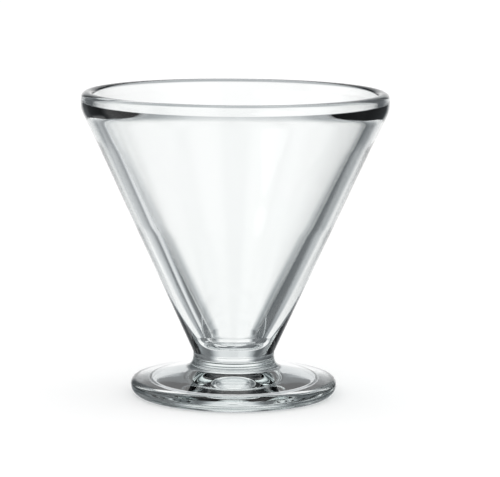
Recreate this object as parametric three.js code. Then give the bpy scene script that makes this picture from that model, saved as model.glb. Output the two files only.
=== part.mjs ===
// Dessert coupe of clear pressed glass: a conical bowl on a low disc foot.
// Units are millimetres and +Z is up. The origin is the centre of the resting plane.
// Both solids are turned shapes. They meet on a flat round face at the neck,
// inside the fine ring that runs round the waist of the glass.

import * as THREE from "three";

// Overall sizes
const HEIGHT = 98;
const RIM_DIAMETER = 98.6;
const FOOT_DIAMETER = 66.5;

// Bowl, outside
const LIP_OUTER_ROUND = 2.1; // radius over the outer edge of the lip
const LIP_BAND = 3.5; // upright band below the lip's outer round
const SHOULDER_DROP = 10.8; // height of the taper from the band to the cone
const SHOULDER_INSET = 5.2; // how far that taper draws in
const SHOULDER_ROUND = 9; // softening of the two turns of that taper

// Bowl, inside
const LIP_THICKNESS = 4.3; // between the outer and the inner wall, at the rim's plane
const LIP_INNER_ROUND = 1.6; // radius over the inner edge of the lip
const LIP_INNER_HEIGHT = 3.3; // upright inner face of the lip, from the rim's plane down
const LIP_UNDERCUT = 0.6; // how far that face opens out on the way down
const LIP_INNER_CORNER = 0.8; // softening of the turn from that face to the bevel below it
const BEVEL_DROP = 2.6; // height of the bevel from the lip's inner face to the inner cone
const BEVEL_INSET = 1.5; // how far that bevel draws in
const BEVEL_ROUND = 1; // softening of its turn into the cone
const WALL_BOW = 0.5; // how far the inner cone bows outwards at mid height
const WALL_BOW_ROUND = 60; // radius of the turn there
const WELL_DIAMETER = 15.7; // top of the small well that ends the hollow
const WELL_DEPTH = 2.2;
const WELL_DRAFT = 0.4; // how far the well's wall draws in towards its floor
const WELL_EDGE_ROUND = 0.5; // turn from the inner cone into the well
const WELL_CORNER = 2.6; // turn from its wall to its floor
const BASE_THICKNESS = 5.2; // glass between the well's floor and the neck's joining face

// Neck
const NECK_DIAMETER = 26.3;
const JOIN_HEIGHT = 12.4; // height of the face where bowl and foot meet
const BOWL_BOSS = 1.6; // straight part of the neck on the bowl
const BOSS_ROUND = 1; // turn from that straight part into the cone
const NECK_CHAMFER = 0.25; // one side of the fine groove round the joining face

// Foot
const FOOT_EDGE = 5.2; // thickness of the disc at its edge
const EDGE_TOP_ROUND = 2.1;
const EDGE_BOTTOM_ROUND = 3;
const FOOT_RISE = 11.6; // degrees, slope of the disc's top face
const NECK_SWEEP = 3.4; // radius of the hollow curve from the disc up to the neck
const RING_WIDTH = 4; // flat resting ring, from its inner edge to the round of the disc's edge
const RING_HEIGHT = 0.8; // step from the resting ring up to the hollow underside
const RING_ROUND = 0.5;
const HOLLOW_RISE = 1.6; // further rise of the underside from its edge to its middle

// Roundness of the mesh
const SEGMENTS = 72; // faces round the axis
const ARC_STEP = 16; // degrees of turn in one step of a rounded corner
const HOLLOW_STEPS = 6;
const SAME_POINT = 1e-3; // two outline points nearer than this are one

const GLASS = { color: 0xe6efee, roughness: 0.04, metalness: 0 };

// A corner of an outline: its radius from the axis, its height and the round that softens it.
const corner = (r, z, round = 0) => ({ at: new THREE.Vector2(r, z), round });

// Half of the angle between the two sides that meet at a corner.
function halfAngle(before, here, after) {
  const toBefore = before.at.clone().sub(here.at);
  const toAfter = after.at.clone().sub(here.at);
  return Math.acos(toBefore.dot(toAfter) / (toBefore.length() * toAfter.length())) / 2;
}

// The points of the arc that replaces a corner. It starts and ends one reach away from it.
function roundedCorner(before, here, after, reach) {
  const half = halfAngle(before, here, after);
  const toBefore = before.at.clone().sub(here.at).normalize();
  const toAfter = after.at.clone().sub(here.at).normalize();
  const centre = toBefore.clone().add(toAfter).setLength(reach / Math.cos(half)).add(here.at);
  const from = toBefore.multiplyScalar(reach).add(here.at).sub(centre);
  const to = toAfter.multiplyScalar(reach).add(here.at).sub(centre);
  const turn = Math.atan2(from.cross(to), from.dot(to));
  const steps = Math.ceil(THREE.MathUtils.radToDeg(Math.abs(turn)) / ARC_STEP);
  const points = [];
  for (let i = 0; i <= steps; i++) {
    points.push(from.clone().rotateAround(new THREE.Vector2(), (turn * i) / steps).add(centre));
  }
  return points;
}

// An outline from axis to axis. Rounds that share a side too short for both shrink alike.
function outline(corners) {
  const reaches = corners.map((here, i) =>
    here.round ? here.round / Math.tan(halfAngle(corners[i - 1], here, corners[i + 1])) : 0,
  );
  const room = (i, j) => corners[i].at.distanceTo(corners[j].at) / (reaches[i] + reaches[j]);
  const points = [];
  corners.forEach((here, i) => {
    if (!here.round) {
      points.push(here.at);
      return;
    }
    const reach = reaches[i] * Math.min(1, room(i, i - 1), room(i, i + 1));
    points.push(...roundedCorner(corners[i - 1], here, corners[i + 1], reach));
  });
  return points.filter((point, i) => i === 0 || point.distanceTo(points[i - 1]) > SAME_POINT);
}

// A solid of revolution about +Z from an outline that runs from the bottom of the axis,
// round the outside, to the top of the axis.
function turned(name, points) {
  const geometry = new THREE.LatheGeometry(points, SEGMENTS);
  geometry.rotateX(Math.PI / 2);
  const mesh = new THREE.Mesh(geometry, new THREE.MeshStandardMaterial(GLASS));
  mesh.name = name;
  return mesh;
}

// Bowl: conical cup with a thick rounded lip, a thick base and a short boss underneath.
function bowl() {
  const rim = RIM_DIAMETER / 2;
  const neck = NECK_DIAMETER / 2;
  const bandBottom = HEIGHT - LIP_OUTER_ROUND - LIP_BAND;
  const lipInner = rim - LIP_THICKNESS;
  const bevelTop = HEIGHT - LIP_INNER_HEIGHT;
  const wallTop = bevelTop - BEVEL_DROP;
  const wallTopRadius = lipInner + LIP_UNDERCUT - BEVEL_INSET;
  const well = WELL_DIAMETER / 2;
  const wellFloor = JOIN_HEIGHT + BASE_THICKNESS;
  const wellTop = wellFloor + WELL_DEPTH;
  return turned(
    "bowl",
    outline([
      corner(0, JOIN_HEIGHT),
      corner(neck - NECK_CHAMFER, JOIN_HEIGHT),
      corner(neck, JOIN_HEIGHT + NECK_CHAMFER),
      corner(neck, JOIN_HEIGHT + BOWL_BOSS, BOSS_ROUND),
      corner(rim - SHOULDER_INSET, bandBottom - SHOULDER_DROP, SHOULDER_ROUND),
      corner(rim, bandBottom, SHOULDER_ROUND),
      corner(rim, HEIGHT, LIP_OUTER_ROUND),
      corner(lipInner, HEIGHT, LIP_INNER_ROUND),
      corner(lipInner + LIP_UNDERCUT, bevelTop, LIP_INNER_CORNER),
      corner(wallTopRadius, wallTop, BEVEL_ROUND),
      corner((wallTopRadius + well) / 2 + WALL_BOW, (wallTop + wellTop) / 2, WALL_BOW_ROUND),
      corner(well, wellTop, WELL_EDGE_ROUND),
      corner(well - WELL_DRAFT, wellFloor, WELL_CORNER),
      corner(0, wellFloor),
    ]),
  );
}

// The underside of the foot, a shallow dome from the axis to the step of the resting ring.
function hollowUnderside(edge) {
  const chord = (edge * edge + HOLLOW_RISE * HOLLOW_RISE) / (2 * HOLLOW_RISE);
  const corners = [];
  for (let i = 0; i < HOLLOW_STEPS; i++) {
    const r = (edge * i) / HOLLOW_STEPS;
    corners.push(corner(r, RING_HEIGHT + HOLLOW_RISE - chord + Math.sqrt(chord * chord - r * r)));
  }
  return corners;
}

// Foot: disc with a rounded edge that sweeps up into the neck, on a flat resting ring.
function foot() {
  const edge = FOOT_DIAMETER / 2;
  const neck = NECK_DIAMETER / 2;
  const ringInner = edge - EDGE_BOTTOM_ROUND - RING_WIDTH;
  const sweepFoot = FOOT_EDGE + (edge - neck) * Math.tan(THREE.MathUtils.degToRad(FOOT_RISE));
  return turned(
    "foot",
    outline([
      ...hollowUnderside(ringInner - RING_HEIGHT),
      corner(ringInner - RING_HEIGHT, RING_HEIGHT, RING_ROUND),
      corner(ringInner, 0, RING_ROUND),
      corner(edge, 0, EDGE_BOTTOM_ROUND),
      corner(edge, FOOT_EDGE, EDGE_TOP_ROUND),
      corner(neck, sweepFoot, NECK_SWEEP),
      corner(neck, JOIN_HEIGHT - NECK_CHAMFER),
      corner(neck - NECK_CHAMFER, JOIN_HEIGHT),
      corner(0, JOIN_HEIGHT),
    ]),
  );
}

const coupe = new THREE.Group();
coupe.add(bowl(), foot());

export default coupe;
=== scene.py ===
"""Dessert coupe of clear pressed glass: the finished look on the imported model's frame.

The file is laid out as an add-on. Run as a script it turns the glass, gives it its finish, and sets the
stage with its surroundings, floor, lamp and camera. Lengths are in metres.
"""

import math

import bmesh
import bpy
from bpy.props import FloatProperty, FloatVectorProperty, IntProperty, PointerProperty
from mathutils import Matrix, Vector


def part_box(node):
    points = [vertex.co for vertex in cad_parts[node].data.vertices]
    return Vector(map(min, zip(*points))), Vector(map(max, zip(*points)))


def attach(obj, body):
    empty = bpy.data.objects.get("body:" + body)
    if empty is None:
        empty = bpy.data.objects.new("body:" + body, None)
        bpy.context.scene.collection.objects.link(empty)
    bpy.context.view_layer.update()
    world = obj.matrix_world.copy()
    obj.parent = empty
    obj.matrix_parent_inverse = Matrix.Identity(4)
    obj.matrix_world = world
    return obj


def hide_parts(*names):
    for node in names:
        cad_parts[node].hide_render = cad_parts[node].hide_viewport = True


bl_info = {
    "name": "Dessert coupe",
    "version": (1, 0, 0),
    "blender": (4, 5, 0),
    "location": "3D View > Sidebar > Coupe",
    "description": "Turns a footed dessert glass and gives it a fire-polished finish",
    "category": "Add Mesh",
}

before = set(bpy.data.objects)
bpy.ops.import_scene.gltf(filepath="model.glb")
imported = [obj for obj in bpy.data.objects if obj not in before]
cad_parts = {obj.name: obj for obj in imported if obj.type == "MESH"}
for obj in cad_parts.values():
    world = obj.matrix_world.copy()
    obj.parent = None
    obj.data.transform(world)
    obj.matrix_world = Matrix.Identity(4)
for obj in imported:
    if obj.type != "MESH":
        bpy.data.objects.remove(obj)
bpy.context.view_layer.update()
BOWL_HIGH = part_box("bowl")[1]
FOOT_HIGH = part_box("foot")[1]

MM = 0.001
GLASS_PIECE = "coupe_glass"


# Sizes and colours that a user would change


def length(name, description, default, low=0.0, high=0.5):
    """A length in metres, shown in the scene's own unit."""
    return FloatProperty(
        name=name,
        description=description,
        default=default,
        min=low,
        max=high,
        subtype="DISTANCE",
        unit="LENGTH",
        precision=5,
    )


def angle(name, description, degrees, highest):
    """An angle, given here in degrees."""
    return FloatProperty(
        name=name,
        description=description,
        default=math.radians(degrees),
        min=0.0,
        max=math.radians(highest),
        subtype="ANGLE",
        unit="ROTATION",
    )


def colour(name, description, default):
    """A colour whose red, green and blue run from 0 to 1."""
    return FloatVectorProperty(
        name=name,
        description=description,
        default=default,
        min=0.0,
        max=1.0,
        size=3,
        subtype="COLOR",
    )


class CoupeBowl(bpy.types.PropertyGroup):
    """Sizes of the conical bowl."""

    height: length("Height", "From the table to the top of the lip", BOWL_HIGH.z)
    rim_radius: length("Rim radius", "Half of the width over the lip", BOWL_HIGH.x)
    lip_outer_round: length("Lip outer round", "Radius over the lip's outer edge", 2.1 * MM)
    lip_band: length("Lip band", "Upright band below the lip's outer round", 3.5 * MM)
    shoulder_drop: length("Shoulder drop", "Height of the taper below the band", 10.8 * MM)
    shoulder_inset: length("Shoulder inset", "How far the taper draws in", 5.2 * MM)
    shoulder_round: length("Shoulder round", "Softening of the taper's turns", 9 * MM)
    lip_thickness: length("Lip thickness", "Between the walls at the rim", 4.3 * MM)
    lip_inner_round: length("Lip inner round", "Radius over the lip's inner edge", 1.6 * MM)
    lip_inner_height: length("Lip inner height", "Upright inner face, from the rim down", 3.3 * MM)
    lip_undercut: length("Lip undercut", "How far that face opens out downwards", 0.6 * MM)
    lip_inner_corner: length("Lip inner corner", "Turn from that face to the bevel", 0.8 * MM)
    bevel_drop: length("Bevel drop", "Height of the bevel below the lip's inner face", 2.6 * MM)
    bevel_inset: length("Bevel inset", "How far the bevel draws in", 1.5 * MM)
    bevel_round: length("Bevel round", "Softening of its turn into the cone", 1 * MM)
    wall_bow: length("Wall bow", "How far the inner cone bows out at mid height", 0.5 * MM)
    wall_bow_round: length("Wall bow round", "Radius of that bow's turn", 60 * MM)
    well_radius: length("Well radius", "Half of the width of the hollow's small end", 7.85 * MM)
    well_depth: length("Well depth", "Height of the hollow's small end", 4 * MM)
    well_draft: length("Well draft", "How far the well draws in to its floor", 0.4 * MM)
    well_edge_round: length("Well edge round", "Turn from the cone into the well", 0.5 * MM)
    well_corner: length("Well corner", "Radius between the well's wall and floor", 5 * MM)
    base_thickness: length("Base", "Glass between the well and the joining plane", 4.6 * MM)
    boss: length("Boss", "Straight part of the neck on the bowl", 1.6 * MM)
    boss_round: length("Boss round", "Turn from the boss into the cone", 1 * MM)


class CoupeFoot(bpy.types.PropertyGroup):
    """Sizes of the disc foot and the neck."""

    join_height: length("Joining plane", "Height where bowl and foot are fused", FOOT_HIGH.z)
    neck_radius: length("Neck radius", "Half of the width of the neck", 13.15 * MM)
    neck_groove: length("Neck groove", "One side of the fine ring at the joining plane", 0.25 * MM)
    radius: length("Foot radius", "Half of the width of the foot", FOOT_HIGH.x)
    edge: length("Edge", "Thickness of the disc at its edge", 5.2 * MM)
    edge_top_round: length("Upper edge round", "Radius over the disc's edge", 2.1 * MM)
    edge_bottom_round: length("Lower edge round", "Radius under the disc's edge", 3 * MM)
    rise: angle("Rise", "Slope of the disc's top face", 11.6, 60)
    neck_sweep: length("Neck sweep", "Radius from the disc up to the neck", 3.4 * MM)
    ring_width: length("Ring width", "Flat resting ring", 4 * MM)
    ring_height: length("Ring height", "Step up to the hollow underside", 0.8 * MM)
    ring_round: length("Ring round", "Softening of that step", 0.5 * MM)
    hollow_rise: length("Hollow rise", "Further rise of the underside", 1.6 * MM)


class CoupeGlass(bpy.types.PropertyGroup):
    """How round the glass is, and its finish."""

    facets: IntProperty(
        name="Facets", description="Faces round the axis", default=288, min=24, max=720
    )
    wave_height: length("Wave height", "Unevenness that fire polishing leaves", 0.012 * MM)
    wave_width: length("Wave width", "Size of that unevenness", 16 * MM)
    tint: colour("Tint", "Colour that a thick piece of this glass lets through", (0.76, 0.86, 0.85))
    tint_strength: FloatProperty(
        name="Tint strength",
        description="How quickly the glass takes on its tint, in each metre",
        default=9.0,
        min=0.0,
        max=200.0,
    )
    bending: FloatProperty(
        name="Refractive index", description="Of soda-lime glass", default=1.52, min=1.3, max=2.0
    )


class CoupeStage(bpy.types.PropertyGroup):
    """Camera, floor and lamp."""

    distance: length("Camera distance", "From the middle of the glass", 0.9, 0.1, 5.0)
    look_down: angle("Look down", "Camera's angle above the horizon", 8.23, 90)
    floor: colour("Floor", "Colour of the studio floor", (0.86, 0.86, 0.86))
    key_power: FloatProperty(
        name="Key light", description="Power of the soft lamp above", default=0.6, min=0.0, unit="POWER"
    )


# Outline of the turned glass

ARC_STEP = math.radians(5)  # turn in one step of a rounded corner
LONGEST_SIDE = 1.4 * MM  # longer sides are divided, so that the shading of a flat stays flat
SAME_POINT = 0.002 * MM  # outline points nearer than this are one
HOLLOW_STEPS = 20  # steps from the axis to the edge of the hollow underside


def corner(r, z, rounding=0.0):
    """A corner of the outline: radius from the axis, height, and the round that softens it."""
    return Vector((r, z)), rounding


def half_angle(before, here, after):
    """Half of the angle between the two sides that meet at a corner."""
    return (before - here).angle(after - here) / 2


def rounded(before, here, after, reach):
    """Points of the arc that replaces a corner, which starts and ends one reach away from it."""
    half = half_angle(before, here, after)
    to_before = (before - here).normalized()
    to_after = (after - here).normalized()
    centre = here + (to_before + to_after).normalized() * (reach / math.cos(half))
    start = here + to_before * reach - centre
    end = here + to_after * reach - centre
    turn = math.atan2(start.x * end.y - start.y * end.x, start.dot(end))
    steps = max(1, math.ceil(abs(turn) / ARC_STEP))
    points = []
    for i in range(steps + 1):
        c, s = math.cos(turn * i / steps), math.sin(turn * i / steps)
        points.append(centre + Vector((start.x * c - start.y * s, start.x * s + start.y * c)))
    return points


def outline(corners):
    """Outline from axis to axis. Rounds that share a side too short for both shrink alike."""
    places = [place for place, _ in corners]
    reaches = [0.0] * len(corners)
    for i, (place, rounding) in enumerate(corners):
        if rounding:
            reaches[i] = rounding / math.tan(half_angle(places[i - 1], place, places[i + 1]))

    def room(i, j):
        return (places[i] - places[j]).length / (reaches[i] + reaches[j])

    points = []
    for i, (place, rounding) in enumerate(corners):
        if not rounding:
            points.append(place)
            continue
        reach = reaches[i] * min(1.0, room(i, i - 1), room(i, i + 1))
        points.extend(rounded(places[i - 1], place, places[i + 1], reach))
    return points


def subdivided(points):
    """The same outline with its long sides divided and its doubled points left out."""
    fine = [points[0]]
    for point in points[1:]:
        side = point - fine[-1]
        if side.length < SAME_POINT:
            continue
        start, steps = fine[-1], math.ceil(side.length / LONGEST_SIDE)
        fine.extend(start + side * (i / steps) for i in range(1, steps + 1))
    return fine


def underside(foot):
    """From the axis along the shallow hollow and down its step to the flat resting ring."""
    ring_inner = foot.radius - foot.edge_bottom_round - foot.ring_width
    edge = ring_inner - foot.ring_height
    ball = (edge**2 + foot.hollow_rise**2) / (2 * foot.hollow_rise)
    ball_centre = foot.ring_height + foot.hollow_rise - ball
    corners = []
    for i in range(HOLLOW_STEPS):
        r = edge * i / HOLLOW_STEPS
        corners.append(corner(r, ball_centre + math.sqrt(ball**2 - r**2)))
    corners.append(corner(edge, foot.ring_height, foot.ring_round))
    corners.append(corner(ring_inner, 0, foot.ring_round))
    return corners


def foot_outside(foot):
    """From the resting ring round the disc's edge and up to the fine groove round the neck."""
    sweep_foot = foot.edge + (foot.radius - foot.neck_radius) * math.tan(foot.rise)
    return [
        corner(foot.radius, 0, foot.edge_bottom_round),
        corner(foot.radius, foot.edge, foot.edge_top_round),
        corner(foot.neck_radius, sweep_foot, foot.neck_sweep),
        corner(foot.neck_radius, foot.join_height - foot.neck_groove),
        corner(foot.neck_radius - foot.neck_groove, foot.join_height),
        corner(foot.neck_radius, foot.join_height + foot.neck_groove),
    ]


def bowl_outside(bowl, foot):
    """From the boss up the cone, the shoulder and the band to the lip's outer edge."""
    band_bottom = bowl.height - bowl.lip_outer_round - bowl.lip_band
    shoulder_bottom = band_bottom - bowl.shoulder_drop
    return [
        corner(foot.neck_radius, foot.join_height + bowl.boss, bowl.boss_round),
        corner(bowl.rim_radius - bowl.shoulder_inset, shoulder_bottom, bowl.shoulder_round),
        corner(bowl.rim_radius, band_bottom, bowl.shoulder_round),
        corner(bowl.rim_radius, bowl.height, bowl.lip_outer_round),
    ]


def bowl_inside(bowl, foot):
    """From the lip's inner edge down the bevel and the inner cone to the middle of the well."""
    lip_inside = bowl.rim_radius - bowl.lip_thickness
    bevel_top = bowl.height - bowl.lip_inner_height
    wall_top = bevel_top - bowl.bevel_drop
    wall_top_radius = lip_inside + bowl.lip_undercut - bowl.bevel_inset
    well_floor = foot.join_height + bowl.base_thickness
    well_top = well_floor + bowl.well_depth
    bow_radius = (wall_top_radius + bowl.well_radius) / 2 + bowl.wall_bow
    return [
        corner(lip_inside, bowl.height, bowl.lip_inner_round),
        corner(lip_inside + bowl.lip_undercut, bevel_top, bowl.lip_inner_corner),
        corner(wall_top_radius, wall_top, bowl.bevel_round),
        corner(bow_radius, (wall_top + well_top) / 2, bowl.wall_bow_round),
        corner(bowl.well_radius, well_top, bowl.well_edge_round),
        corner(bowl.well_radius - bowl.well_draft, well_floor, bowl.well_corner),
        corner(0, well_floor),
    ]


def glass_outline(bowl, foot):
    """The whole glass from the middle of its underside, round the outside, to the well's floor."""
    lower = [*underside(foot), *foot_outside(foot)]
    upper = [*bowl_outside(bowl, foot), *bowl_inside(bowl, foot)]
    return subdivided(outline(lower + upper))


# Small helpers for node trees


def add(tree, kind, values=None, **settings):
    """A node with its settings and the plain values of its inputs."""
    node = tree.nodes.new(kind)
    for name, value in settings.items():
        setattr(node, name, value)
    for name, value in (values or {}).items():
        node.inputs[name].default_value = value
    return node


def maths(tree, operation, *terms):
    """The output of a Math node. A term is a number or another node's output."""
    node = add(tree, "ShaderNodeMath", operation=operation)
    for socket, term in zip(node.inputs, terms):
        if isinstance(term, (int, float)):
            socket.default_value = term
        else:
            tree.links.new(term, socket)
    return node.outputs[0]


def interface(tree, way, kind, *names):
    """Named sockets on a group's outside."""
    for name in names:
        tree.interface.new_socket(name=name, in_out=way, socket_type=kind)


def group_node(tree, group, values):
    """A placed copy of a node group with its own values."""
    node = add(tree, "ShaderNodeGroup")
    node.node_tree = group
    for name, value in values.items():
        node.inputs[name].default_value = value
    return node


def noise(tree, scale, detail, roughness=0.5):
    """A noise texture on the object's own coordinates, as a value from about 0 to 1."""
    texture = add(tree, "ShaderNodeTexNoise", {"Detail": detail, "Roughness": roughness})
    where = add(tree, "ShaderNodeTexCoord").outputs["Object"]
    tree.links.new(where, texture.inputs["Vector"])
    if isinstance(scale, (int, float)):
        texture.inputs["Scale"].default_value = scale
    else:
        tree.links.new(scale, texture.inputs["Scale"])
    return texture.outputs["Fac"]


def mix_colours(tree, factor, first, second):
    """The output that blends two plain colours."""
    mix = add(tree, "ShaderNodeMix", data_type="RGBA")
    mix.inputs["A"].default_value = (*first, 1)
    mix.inputs["B"].default_value = (*second, 1)
    tree.links.new(factor, mix.inputs["Factor"])
    return mix.outputs["Result"]


def empty_tree(block):
    """The cleared node tree of a material or a world."""
    block.use_nodes = True
    block.node_tree.nodes.clear()
    return block.node_tree


# The turning of the outline into a closed glass

POLE_GAP = 0.001 * MM  # points of the turned mesh nearer than this are merged
OFF_TABLE = 0.1 * MM  # the glass is uneven only above this height, so that it stands flat
FLAT_EDGE = 1e-7  # edges shorter than this are dropped


def lathe(tree, given):
    """The outline turned about the upright axis, as a mesh whose seam and poles are merged."""
    link = tree.links.new

    # a grid with a row of points for each facet and one to close the turn, each as long as the outline
    size = add(tree, "GeometryNodeAttributeDomainSize", component="MESH")
    link(given.outputs["Outline"], size.inputs[0])
    count = size.outputs["Point Count"]
    grid = add(tree, "GeometryNodeMeshGrid", {"Size X": 1.0, "Size Y": 1.0})
    link(maths(tree, "ADD", given.outputs["Facets"], 1), grid.inputs["Vertices X"])
    link(count, grid.inputs["Vertices Y"])

    # each point finds its place on the outline and its turn about the axis
    index = add(tree, "GeometryNodeInputIndex").outputs[0]
    along = maths(tree, "MODULO", index, count)
    facet = maths(tree, "FLOOR", maths(tree, "DIVIDE", maths(tree, "ADD", index, 0.5), count))
    turn = maths(tree, "MULTIPLY", maths(tree, "DIVIDE", facet, given.outputs["Facets"]), math.tau)
    place = add(tree, "GeometryNodeSampleIndex", data_type="FLOAT_VECTOR", domain="POINT")
    link(given.outputs["Outline"], place.inputs["Geometry"])
    link(add(tree, "GeometryNodeInputPosition").outputs[0], place.inputs["Value"])
    link(along, place.inputs["Index"])
    apart = add(tree, "ShaderNodeSeparateXYZ")
    link(place.outputs[0], apart.inputs[0])
    radius = apart.outputs["X"]
    spot = add(tree, "ShaderNodeCombineXYZ")
    link(maths(tree, "MULTIPLY", radius, maths(tree, "COSINE", turn)), spot.inputs["X"])
    link(maths(tree, "MULTIPLY", radius, maths(tree, "SINE", turn)), spot.inputs["Y"])
    link(apart.outputs["Z"], spot.inputs["Z"])
    turned = add(tree, "GeometryNodeSetPosition")
    link(grid.outputs["Mesh"], turned.inputs["Geometry"])
    link(spot.outputs[0], turned.inputs["Position"])
    closed = add(tree, "GeometryNodeMergeByDistance", {"Distance": POLE_GAP})
    link(turned.outputs[0], closed.inputs["Geometry"])
    return closed.outputs[0]


def fire_polished(tree, given, mesh):
    """The mesh with the faint unevenness that fire polishing leaves, except where it stands."""
    link = tree.links.new
    waves = add(tree, "ShaderNodeTexNoise", {"Detail": 1.0, "Roughness": 0.4}, noise_dimensions="3D")
    link(maths(tree, "DIVIDE", 1.0, given.outputs["Wave width"]), waves.inputs["Scale"])
    swing = maths(tree, "SUBTRACT", waves.outputs["Fac"], 0.5)
    reach = maths(tree, "MULTIPLY", swing, given.outputs["Wave height"])
    height = add(tree, "ShaderNodeSeparateXYZ")
    link(add(tree, "GeometryNodeInputPosition").outputs[0], height.inputs[0])
    off_table = maths(tree, "GREATER_THAN", height.outputs["Z"], OFF_TABLE)
    push = add(tree, "ShaderNodeVectorMath", operation="SCALE")
    link(add(tree, "GeometryNodeInputNormal").outputs[0], push.inputs[0])
    link(maths(tree, "MULTIPLY", reach, off_table), push.inputs["Scale"])
    uneven = add(tree, "GeometryNodeSetPosition")
    link(mesh, uneven.inputs["Geometry"])
    link(push.outputs[0], uneven.inputs["Offset"])
    return uneven.outputs[0]


def turning_tree():
    """Geometry nodes that make the finished glass from its outline."""
    tree = bpy.data.node_groups.new("Turned glass", "GeometryNodeTree")
    interface(tree, "INPUT", "NodeSocketGeometry", "Outline")
    interface(tree, "INPUT", "NodeSocketInt", "Facets")
    interface(tree, "INPUT", "NodeSocketFloat", "Wave height", "Wave width")
    interface(tree, "INPUT", "NodeSocketMaterial", "Glass")
    interface(tree, "OUTPUT", "NodeSocketGeometry", "Geometry")
    link = tree.links.new
    given = add(tree, "NodeGroupInput")
    uneven = fire_polished(tree, given, lathe(tree, given))
    smooth = add(tree, "GeometryNodeSetShadeSmooth")
    link(uneven, smooth.inputs["Geometry"])
    real = add(tree, "GeometryNodeRealizeInstances")
    link(smooth.outputs[0], real.inputs["Geometry"])
    finish = add(tree, "GeometryNodeSetMaterial")
    link(real.outputs[0], finish.inputs["Geometry"])
    link(given.outputs["Glass"], finish.inputs["Material"])
    made = add(tree, "NodeGroupOutput")
    link(finish.outputs[0], made.inputs[0])
    return tree


def set_inputs(modifier, values):
    """Gives a modifier's inputs their values by their sockets' identifiers."""
    for item in modifier.node_group.interface.items_tree:
        if item.item_type == "SOCKET" and item.in_out == "INPUT" and item.name in values:
            modifier[item.identifier] = values[item.name]


def outline_object(points):
    """The outline as a chain of edges in the plane of X and Z."""
    mesh = bpy.data.meshes.new("outline")
    places = [(p.x, 0.0, p.y) for p in points]
    mesh.from_pydata(places, [(i, i + 1) for i in range(len(places) - 1)], [])
    piece = bpy.data.objects.new("outline", mesh)
    bpy.context.scene.collection.objects.link(piece)
    return piece


def turned_piece(name, points, glass, material):
    """The outline turned into one closed mesh, as a plain object at the origin."""
    source = outline_object(points)
    modifier = source.modifiers.new("Turned glass", "NODES")
    modifier.node_group = turning_tree()
    set_inputs(
        modifier,
        {
            "Facets": glass.facets,
            "Wave height": glass.wave_height,
            "Wave width": glass.wave_width,
            "Glass": material,
        },
    )
    graph = bpy.context.evaluated_depsgraph_get()
    mesh = bpy.data.meshes.new_from_object(source.evaluated_get(graph), depsgraph=graph)
    source.modifiers.remove(modifier)
    bpy.data.objects.remove(source)
    mesh.name = name
    face_outward(mesh)
    piece = bpy.data.objects.new(name, mesh)
    bpy.context.scene.collection.objects.link(piece)
    return piece


def face_outward(mesh):
    """Drops what the merged poles left flat and points every face out of the glass."""
    body = bmesh.new()
    body.from_mesh(mesh)
    bmesh.ops.dissolve_degenerate(body, dist=FLAT_EDGE, edges=body.edges)
    bmesh.ops.recalc_face_normals(body, faces=body.faces)
    if body.calc_volume(signed=True) < 0:
        bmesh.ops.reverse_faces(body, faces=body.faces)
    for face in body.faces:
        face.smooth = True
    if any(not edge.is_manifold for edge in body.edges):
        raise RuntimeError("the turned glass isn't closed")
    body.to_mesh(mesh)
    body.free()


# Finish of the glass

CLEAR = (1.0, 1.0, 1.0)
FAINTLY_GREEN = (0.985, 0.995, 0.99)
LIGHT_SHADOW = (0.9, 0.93, 0.93)  # what the glass lets through of a lamp's light
MOTTLE_SCALE = 30.0
RIPPLE_WIDTH = 14 * MM
RIPPLE_DEPTH = 0.1 * MM
RIPPLE_STRENGTH = 0.05
HAZE = 0.012  # most roughness that the haze gives
HAZE_SCALE = 260.0
HAZE_STARTS = 0.45
HAZE_IS_FULL = 0.8
WEAR = 0.35  # most roughness that the scuffs give
WEAR_HEIGHT = 0.5 * MM  # scuffs fade out below this height
SCUFF_SCALE = 2400.0


def fire_polish_group():
    """Faint ripple and haze of fire-polished pressed glass."""
    tree = bpy.data.node_groups.new("Fire polish", "ShaderNodeTree")
    interface(tree, "INPUT", "NodeSocketFloat", "Ripple width", "Haze")
    interface(tree, "OUTPUT", "NodeSocketFloat", "Ripple", "Roughness")
    link = tree.links.new
    given = add(tree, "NodeGroupInput").outputs
    made = add(tree, "NodeGroupOutput").inputs
    ripple_scale = maths(tree, "DIVIDE", 1.0, given["Ripple width"])
    link(noise(tree, ripple_scale, 2.0, 0.45), made["Ripple"])
    patches = add(tree, "ShaderNodeMapRange", {"From Min": HAZE_STARTS, "From Max": HAZE_IS_FULL})
    link(noise(tree, HAZE_SCALE, 3.0, 0.6), patches.inputs["Value"])
    link(maths(tree, "MULTIPLY", patches.outputs[0], given["Haze"]), made["Roughness"])
    return tree


def standing_wear_group():
    """Fine scuffs on the ring that the glass stands on."""
    tree = bpy.data.node_groups.new("Standing wear", "ShaderNodeTree")
    interface(tree, "INPUT", "NodeSocketFloat", "Ring height", "Wear")
    interface(tree, "OUTPUT", "NodeSocketFloat", "Roughness")
    link = tree.links.new
    given = add(tree, "NodeGroupInput").outputs
    made = add(tree, "NodeGroupOutput").inputs
    height = add(tree, "ShaderNodeSeparateXYZ")
    link(add(tree, "ShaderNodeTexCoord").outputs["Object"], height.inputs[0])
    low = add(tree, "ShaderNodeMapRange", {"From Min": 0.0, "To Min": 1.0, "To Max": 0.0})
    link(height.outputs["Z"], low.inputs["Value"])
    link(given["Ring height"], low.inputs["From Max"])
    marks = maths(tree, "MULTIPLY", low.outputs[0], noise(tree, SCUFF_SCALE, 4.0, 0.7))
    link(maths(tree, "MULTIPLY", marks, given["Wear"]), made["Roughness"])
    return tree


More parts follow.
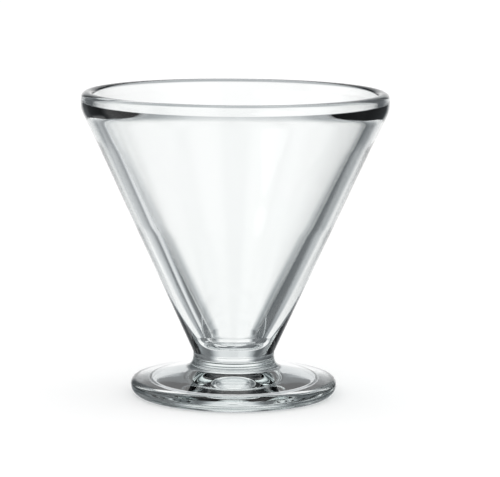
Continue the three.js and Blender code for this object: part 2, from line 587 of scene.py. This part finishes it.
def pressed_glass(glass):
    """Clear soda-lime glass, fire polished, with a faint cool tint in thick places."""
    material = bpy.data.materials.new("Clear pressed glass")
    tree = empty_tree(material)
    link = tree.links.new
    polish = group_node(tree, fire_polish_group(), {"Ripple width": RIPPLE_WIDTH, "Haze": HAZE})
    wear = group_node(tree, standing_wear_group(), {"Ring height": WEAR_HEIGHT, "Wear": WEAR})
    shader = add(
        tree,
        "ShaderNodeBsdfPrincipled",
        {"Transmission Weight": 1.0, "IOR": glass.bending, "Metallic": 0.0},
    )
    tone = mix_colours(tree, noise(tree, MOTTLE_SCALE, 1.0), FAINTLY_GREEN, CLEAR)
    link(tone, shader.inputs["Base Color"])
    rough = maths(tree, "ADD", polish.outputs["Roughness"], wear.outputs["Roughness"])
    link(rough, shader.inputs["Roughness"])
    bump = add(tree, "ShaderNodeBump", {"Strength": RIPPLE_STRENGTH, "Distance": RIPPLE_DEPTH})
    link(polish.outputs["Ripple"], bump.inputs["Height"])
    link(bump.outputs[0], shader.inputs["Normal"])

    # lamps shine through, so that the glass throws a light shadow
    through = add(tree, "ShaderNodeBsdfTransparent", {"Color": (*LIGHT_SHADOW, 1)})
    mixed = add(tree, "ShaderNodeMixShader")
    link(add(tree, "ShaderNodeLightPath").outputs["Is Shadow Ray"], mixed.inputs[0])
    link(shader.outputs[0], mixed.inputs[1])
    link(through.outputs[0], mixed.inputs[2])

    body = add(
        tree, "ShaderNodeVolumeAbsorption", {"Color": (*glass.tint, 1), "Density": glass.tint_strength}
    )
    out = add(tree, "ShaderNodeOutputMaterial")
    link(mixed.outputs[0], out.inputs["Surface"])
    link(body.outputs[0], out.inputs["Volume"])
    return material


# Surroundings that the glass sees: soft white panels in a darker studio

PANEL_SIZES = ("Middle turn", "Half width", "Middle rise", "Half height", "Softness")
# Each panel has those five sizes in degrees, and then its brightness.
# A turn of 0 is ahead of the camera and 90 is to its right. A rise of 90 is straight up.
PANELS = {
    "Ahead, high": (1, 12, 22, 38, 15, 0.66),
    "Ahead, low": (1, 12, -10, 8, 15, 0.38),
    "Ahead, far below": (2, 24, -58, 29, 13, 0.4),
    "Overhead": (3, 38, 75, 36, 14, 0.55),
    "Right": (90, 20, 0, 66, 11, 0.06),
    "Behind the camera": (180, 42, -3, 54, 20, 0.31),
    "Ahead, a little left": (-27, 5, -18, 8, 8, 0.13),
    "Ahead, far left": (-49, 9, -27, 7, 5, 0.68),
    "Left": (-90, 16, -3, 60, 14, 0.78),
    "Behind, right": (135, 20, -10, 70, 15, 0.55),
}
BETWEEN_PANELS = 0.13  # brightness of the studio where no panel is
BRIGHTEST = 1.06  # where panels overlap, they are no brighter than this
COOL = (0.9, 0.985, 1.05)  # tone of the darkest surroundings, which fades out as they get brighter
WHITE = (1.0, 1.0, 1.0)
FULL_TURN = 360.0
REFLECTIONS_INSIDE = 5  # how often light may be thrown back in the glass before it counts as lost


def soft_panel_group():
    """One soft-edged panel, by its direction, as a mask."""
    tree = bpy.data.node_groups.new("Soft panel", "ShaderNodeTree")
    interface(tree, "INPUT", "NodeSocketFloat", "Turn", "Rise", *PANEL_SIZES)
    interface(tree, "OUTPUT", "NodeSocketFloat", "Mask")
    given = add(tree, "NodeGroupInput").outputs
    made = add(tree, "NodeGroupOutput").inputs

    def mask_across(gap, half):
        edge = add(
            tree,
            "ShaderNodeMapRange",
            {"To Min": 1.0, "To Max": 0.0},
            interpolation_type="SMOOTHSTEP",
        )
        tree.links.new(gap, edge.inputs["Value"])
        tree.links.new(given[half], edge.inputs["From Min"])
        outer = maths(tree, "ADD", given[half], given["Softness"])
        tree.links.new(outer, edge.inputs["From Max"])
        return edge.outputs[0]

    one_way = maths(tree, "ABSOLUTE", maths(tree, "SUBTRACT", given["Turn"], given["Middle turn"]))
    sideways = maths(tree, "MINIMUM", one_way, maths(tree, "SUBTRACT", FULL_TURN, one_way))
    upways = maths(tree, "ABSOLUTE", maths(tree, "SUBTRACT", given["Rise"], given["Middle rise"]))
    wide = mask_across(sideways, "Half width")
    tall = mask_across(upways, "Half height")
    tree.links.new(maths(tree, "MULTIPLY", wide, tall), made["Mask"])
    return tree


def panel_light(tree):
    """Brightness of the surroundings in each direction."""
    link = tree.links.new
    apart = add(tree, "ShaderNodeSeparateXYZ")
    link(add(tree, "ShaderNodeTexCoord").outputs["Generated"], apart.inputs[0])
    x, y, z = apart.outputs
    turn = maths(tree, "DEGREES", maths(tree, "ARCTAN2", x, y))
    rise = maths(tree, "DEGREES", maths(tree, "ARCSINE", z))
    panel = soft_panel_group()
    light = BETWEEN_PANELS
    for name, (*sizes, brightness) in PANELS.items():
        mask = group_node(tree, panel, dict(zip(PANEL_SIZES, map(float, sizes))))
        mask.label = name
        link(turn, mask.inputs["Turn"])
        link(rise, mask.inputs["Rise"])
        extra = maths(tree, "MULTIPLY", mask.outputs[0], brightness)
        light = maths(tree, "ADD", extra, light)
    return maths(tree, "MINIMUM", light, BRIGHTEST)


def studio_world():
    """Plain white for the camera and the floor, and the panels for what looks through the glass."""
    world = bpy.data.worlds.new("Studio")
    bpy.context.scene.world = world
    tree = empty_tree(world)
    link = tree.links.new
    seen = add(tree, "ShaderNodeLightPath").outputs
    plain = maths(tree, "MAXIMUM", seen["Is Camera Ray"], seen["Is Diffuse Ray"])
    strength = add(tree, "ShaderNodeMix", {"B": 1.0}, data_type="FLOAT")
    link(plain, strength.inputs["Factor"])
    link(panel_light(tree), strength.inputs["A"])
    air = add(tree, "ShaderNodeBackground")
    link(mix_colours(tree, strength.outputs["Result"], COOL, WHITE), air.inputs["Color"])
    link(strength.outputs["Result"], air.inputs["Strength"])
    out = add(tree, "ShaderNodeOutputWorld")
    link(air.outputs[0], out.inputs[0])


# Floor and lamp

FLOOR_RADIUS = 4.0
FLOOR_SIDES = 96
FLOOR_DROP = 0.05 * MM  # gap under the glass, so that the two faces don't coincide
FLOOR_MOTTLE_SCALE = 40.0
FLOOR_MOTTLE = 1.01  # how much lighter its light patches are
FLOOR_GLOW = 0.2  # what the camera sees of it beyond its lit colour
LAMP_PLACE = Vector((-0.35, -0.25, 0.75))
LAMP_AIM = Vector((0, 0, 0.03))
LAMP_WIDTH = 0.5


def floor_material(shade):
    """Pale floor that keeps the shadow. Glass looks past it into the surroundings."""
    material = bpy.data.materials.new("Studio floor")
    tree = empty_tree(material)
    link = tree.links.new
    seen = add(tree, "ShaderNodeLightPath").outputs
    lighter = [c * FLOOR_MOTTLE for c in shade]
    matt = add(tree, "ShaderNodeBsdfDiffuse")
    mottle = noise(tree, FLOOR_MOTTLE_SCALE, 2.0)
    link(mix_colours(tree, mottle, shade, lighter), matt.inputs["Color"])
    glow = add(tree, "ShaderNodeEmission", {"Color": (1, 1, 1, 1)})
    link(maths(tree, "MULTIPLY", seen["Is Camera Ray"], FLOOR_GLOW), glow.inputs["Strength"])
    lit = add(tree, "ShaderNodeAddShader")
    link(matt.outputs[0], lit.inputs[0])
    link(glow.outputs[0], lit.inputs[1])
    clear = add(tree, "ShaderNodeBsdfTransparent")
    past = maths(tree, "MAXIMUM", seen["Is Glossy Ray"], seen["Is Transmission Ray"])
    mixed = add(tree, "ShaderNodeMixShader")
    link(past, mixed.inputs[0])
    link(lit.outputs[0], mixed.inputs[1])
    link(clear.outputs[0], mixed.inputs[2])
    out = add(tree, "ShaderNodeOutputMaterial")
    link(mixed.outputs[0], out.inputs["Surface"])
    return material


def studio_floor(shade):
    """A wide round floor under the glass."""
    mesh = bpy.data.meshes.new("floor")
    body = bmesh.new()
    bmesh.ops.create_circle(body, cap_ends=True, segments=FLOOR_SIDES, radius=FLOOR_RADIUS)
    body.to_mesh(mesh)
    body.free()
    mesh.materials.append(floor_material(shade))
    floor = bpy.data.objects.new("floor", mesh)
    floor.location.z = -FLOOR_DROP
    bpy.context.scene.collection.objects.link(floor)


def key_lamp(power):
    """One large soft lamp above the glass, on its left and on the camera's side."""
    data = bpy.data.lights.new("key", "AREA")
    data.shape = "DISK"
    data.size = LAMP_WIDTH
    data.energy = power
    lamp = bpy.data.objects.new("key", data)
    lamp.location = LAMP_PLACE
    lamp.rotation_euler = (LAMP_AIM - LAMP_PLACE).to_track_quat("-Z", "Y").to_euler()
    bpy.context.scene.collection.objects.link(lamp)


# Camera, fitted to the lip and foot of the glass in the photograph

PICTURE_WIDTH = 500  # width of the picture in points
LENS_POINTS = 2800  # focal length in those points
MIDDLE_RIGHT = 15.5  # the picture's middle lies this many points right of what the camera aims at
MIDDLE_UP = 1.8  # and this many above it
SENSOR_MM = 36.0
ROLL = math.radians(0.38)
AIM_HEIGHT = 50 * MM
NEAREST = 0.01
FARTHEST = 50.0


def photo_camera(distance, look_down):
    """The camera at the photograph's angle, distance, lens and slight roll."""
    data = bpy.data.cameras.new("camera")
    data.sensor_width = SENSOR_MM
    data.lens = LENS_POINTS * SENSOR_MM / PICTURE_WIDTH
    data.clip_start = NEAREST
    data.clip_end = FARTHEST
    camera = bpy.data.objects.new("camera", data)
    ahead = Vector((0, math.cos(look_down), -math.sin(look_down)))
    up = Vector((0, math.sin(look_down), math.cos(look_down)))
    right = Vector((1, 0, 0))
    place = Vector((0, 0, AIM_HEIGHT)) - ahead * distance
    view = (ahead * LENS_POINTS + right * MIDDLE_RIGHT + up * MIDDLE_UP).normalized()
    across = right * math.cos(ROLL) + up * math.sin(ROLL)
    above = across.cross(view).normalized()
    across = view.cross(above)
    turn = Matrix((across, above, -view)).transposed().to_4x4()
    camera.matrix_world = Matrix.Translation(place) @ turn
    bpy.context.scene.collection.objects.link(camera)
    bpy.context.scene.camera = camera


# Operators and panel


class COUPE_OT_glass(bpy.types.Operator):
    """Turn the bowl and foot as one fused glass and give it its finish"""

    bl_idname = "coupe.make_glass"
    bl_label = "Make the glass"

    def execute(self, context):
        scene = context.scene
        material = pressed_glass(scene.coupe_glass)
        points = glass_outline(scene.coupe_bowl, scene.coupe_foot)
        piece = turned_piece(GLASS_PIECE, points, scene.coupe_glass, material)
        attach(piece, "root")
        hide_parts("bowl", "foot")
        return {"FINISHED"}


class COUPE_OT_stage(bpy.types.Operator):
    """Set the surroundings, the floor, the lamp and the camera"""

    bl_idname = "coupe.set_stage"
    bl_label = "Set the stage"

    def execute(self, context):
        stage = context.scene.coupe_stage
        studio_world()
        studio_floor(stage.floor)
        key_lamp(stage.key_power)
        photo_camera(stage.distance, stage.look_down)
        context.scene.view_settings.view_transform = "Standard"
        context.scene.cycles.glossy_bounces = REFLECTIONS_INSIDE
        return {"FINISHED"}


class COUPE_PT_panel(bpy.types.Panel):
    """Sizes and finish of the dessert coupe"""

    bl_label = "Dessert coupe"
    bl_idname = "COUPE_PT_panel"
    bl_space_type = "VIEW_3D"
    bl_region_type = "UI"
    bl_category = "Coupe"

    def draw(self, context):
        layout = self.layout
        for title in SETTINGS:
            group = getattr(context.scene, setting_name(title))
            box = layout.box()
            box.label(text=title)
            for name in group.bl_rna.properties.keys():
                if name not in ("rna_type", "name"):
                    box.prop(group, name)
        layout.operator(COUPE_OT_glass.bl_idname)
        layout.operator(COUPE_OT_stage.bl_idname)


SETTINGS = {"Bowl": CoupeBowl, "Foot": CoupeFoot, "Glass": CoupeGlass, "Stage": CoupeStage}
CLASSES = (*SETTINGS.values(), COUPE_OT_glass, COUPE_OT_stage, COUPE_PT_panel)


def setting_name(title):
    """The name under which a scene keeps one group of settings."""
    return "coupe_" + title.lower()


def register():
    """Makes the settings, operators and panel known."""
    for cls in CLASSES:
        bpy.utils.register_class(cls)
    for title, group in SETTINGS.items():
        setattr(bpy.types.Scene, setting_name(title), PointerProperty(type=group))


def unregister():
    """Takes them away again."""
    for title in SETTINGS:
        delattr(bpy.types.Scene, setting_name(title))
    for cls in reversed(CLASSES):
        bpy.utils.unregister_class(cls)


def main():
    """Makes the glass and its stage."""
    register()
    bpy.ops.coupe.make_glass()
    bpy.ops.coupe.set_stage()


if __name__ == "__main__":
    main()
